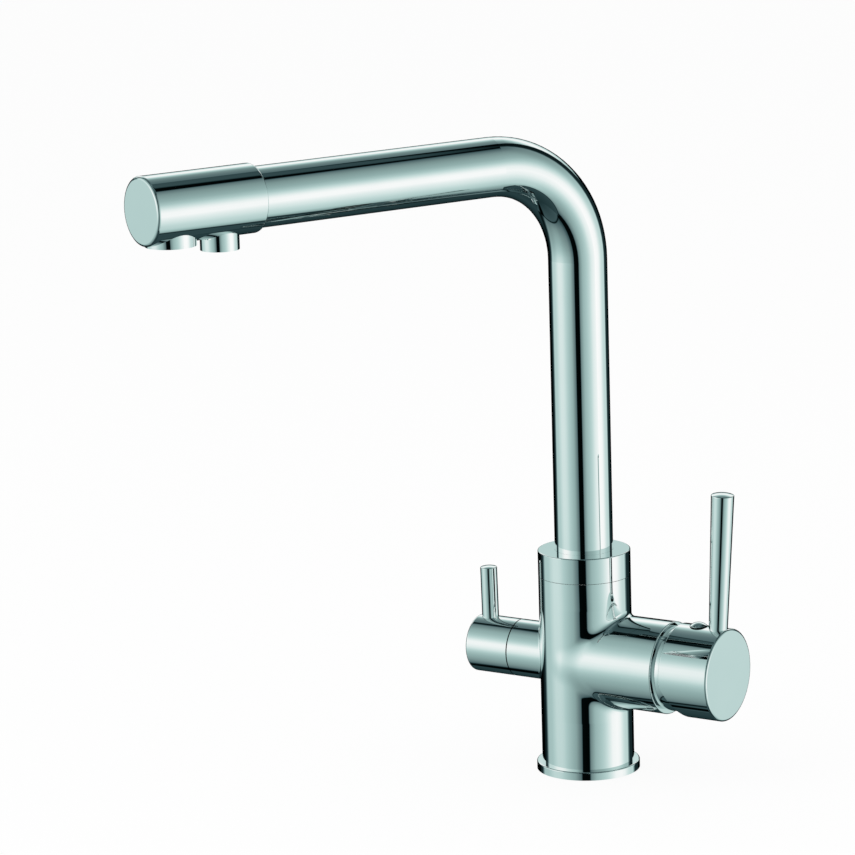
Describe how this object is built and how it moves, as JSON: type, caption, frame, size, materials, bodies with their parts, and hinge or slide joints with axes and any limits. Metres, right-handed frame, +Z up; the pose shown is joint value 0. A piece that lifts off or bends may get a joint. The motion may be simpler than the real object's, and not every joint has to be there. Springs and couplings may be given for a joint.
{
  "type": "three way filtered water tap",
  "caption": "Deck mounted swivel spout kitchen tap in polished chrome with a side mixer lever, a small filtered water lever and separate outlets under the spout head.",
  "frame": {"origin": "on the upright body's axis at the worktop plane, which is the underside of the body and its deck ring", "axes": "+Z up along the body, +X along the mixer branch, -X along the filter branch, -Y towards the user; the spout rests turned 24.2 degrees from -Y towards -X"},
  "size_m": [0.1916, 0.2444, 0.3135],
  "materials": {
    "polished_chrome": "polished chrome plate on brass",
    "plain_brass": "machined, unplated",
    "cartridge_plastic": "moulded, light grey",
    "ceramic_disc": "lapped",
    "black_rubber": "moulded, black",
    "steel": "machined stainless steel",
    "water_line_plastic": "food grade tube, translucent white",
    "outlet_insert_plastic": "moulded, grey",
    "slide_ring_plastic": "low friction plastic"
  },
  "bodies": {
    "tap_body": {"body_casting": "polished_chrome", "deck_ring": "polished_chrome", "deck_seal": "black_rubber", "spout_slide_ring": "slide_ring_plastic", "spout_retaining_screw": "steel", "cartridge_base": "cartridge_plastic", "cartridge_seals": "black_rubber", "cartridge_fixed_disc": "ceramic_disc", "cartridge_housing": "cartridge_plastic", "cartridge_nut": "plain_brass", "mixer_dome": "polished_chrome", "filter_valve_body": "plain_brass", "filter_seat_seal": "black_rubber", "filter_fixed_disc": "ceramic_disc"},
    "spout": {"spout_foot": "plain_brass", "spout_o_rings": "black_rubber", "swivel_collar": "polished_chrome", "spout_tube": "polished_chrome", "filtered_water_line": "water_line_plastic", "filtered_water_tail": "water_line_plastic", "tail_o_ring": "black_rubber", "outlet_head": "polished_chrome", "aerator_shell": "outlet_insert_plastic", "aerator_screen": "outlet_insert_plastic", "aerator_seal": "black_rubber", "filter_outlet_shell": "outlet_insert_plastic", "filter_outlet_strainer": "outlet_insert_plastic", "filter_outlet_seal": "black_rubber"},
    "mixer_rotor": {"cartridge_rotor": "cartridge_plastic", "cartridge_pivot_pin": "steel"},
    "mixer_disc": {"cartridge_disc_carrier": "cartridge_plastic", "cartridge_moving_disc": "ceramic_disc"},
    "mixer_handle_group": {"cartridge_stem": "steel", "mixer_handle": "polished_chrome", "mixer_lever": "polished_chrome", "handle_set_screw": "steel", "index_plug": "polished_chrome"},
    "filter_handle_group": {"filter_spindle": "plain_brass", "spindle_o_ring": "black_rubber", "filter_moving_disc": "ceramic_disc", "filter_knob": "polished_chrome", "filter_lever": "polished_chrome", "knob_set_screw": "steel"}
  },
  "joints": [
    {"name": "spout_swivel", "type": "hinge", "parent": "tap_body", "child": "spout", "pos_m": [0, 0, 0.1], "axis": [0, 0, 1], "continuous": true},
    {"name": "mixer_temperature", "type": "hinge", "parent": "tap_body", "child": "mixer_rotor", "pos_m": [0.051, 0, 0.055], "axis": [1, 0, 0], "range_deg": [-45, 45]},
    {"name": "mixer_flow", "type": "hinge", "parent": "mixer_rotor", "child": "mixer_handle_group", "pos_m": [0.051, 0, 0.055], "axis": [0, 1, 0], "range_deg": [0, 25]},
    {"name": "disc_slide", "type": "slide", "parent": "mixer_rotor", "child": "mixer_disc", "axis": [0, 0, 1], "range_m": [0, 0.0055]},
    {"name": "filter_valve_turn", "type": "hinge", "parent": "tap_body", "child": "filter_handle_group", "pos_m": [-0.05, 0, 0.055], "axis": [1, 0, 0], "range_deg": [0, 90]}
  ],
  "couplings": [
    {"joint": "disc_slide", "follows": "mixer_flow", "m_per_rad": 0.01259}
  ]
}
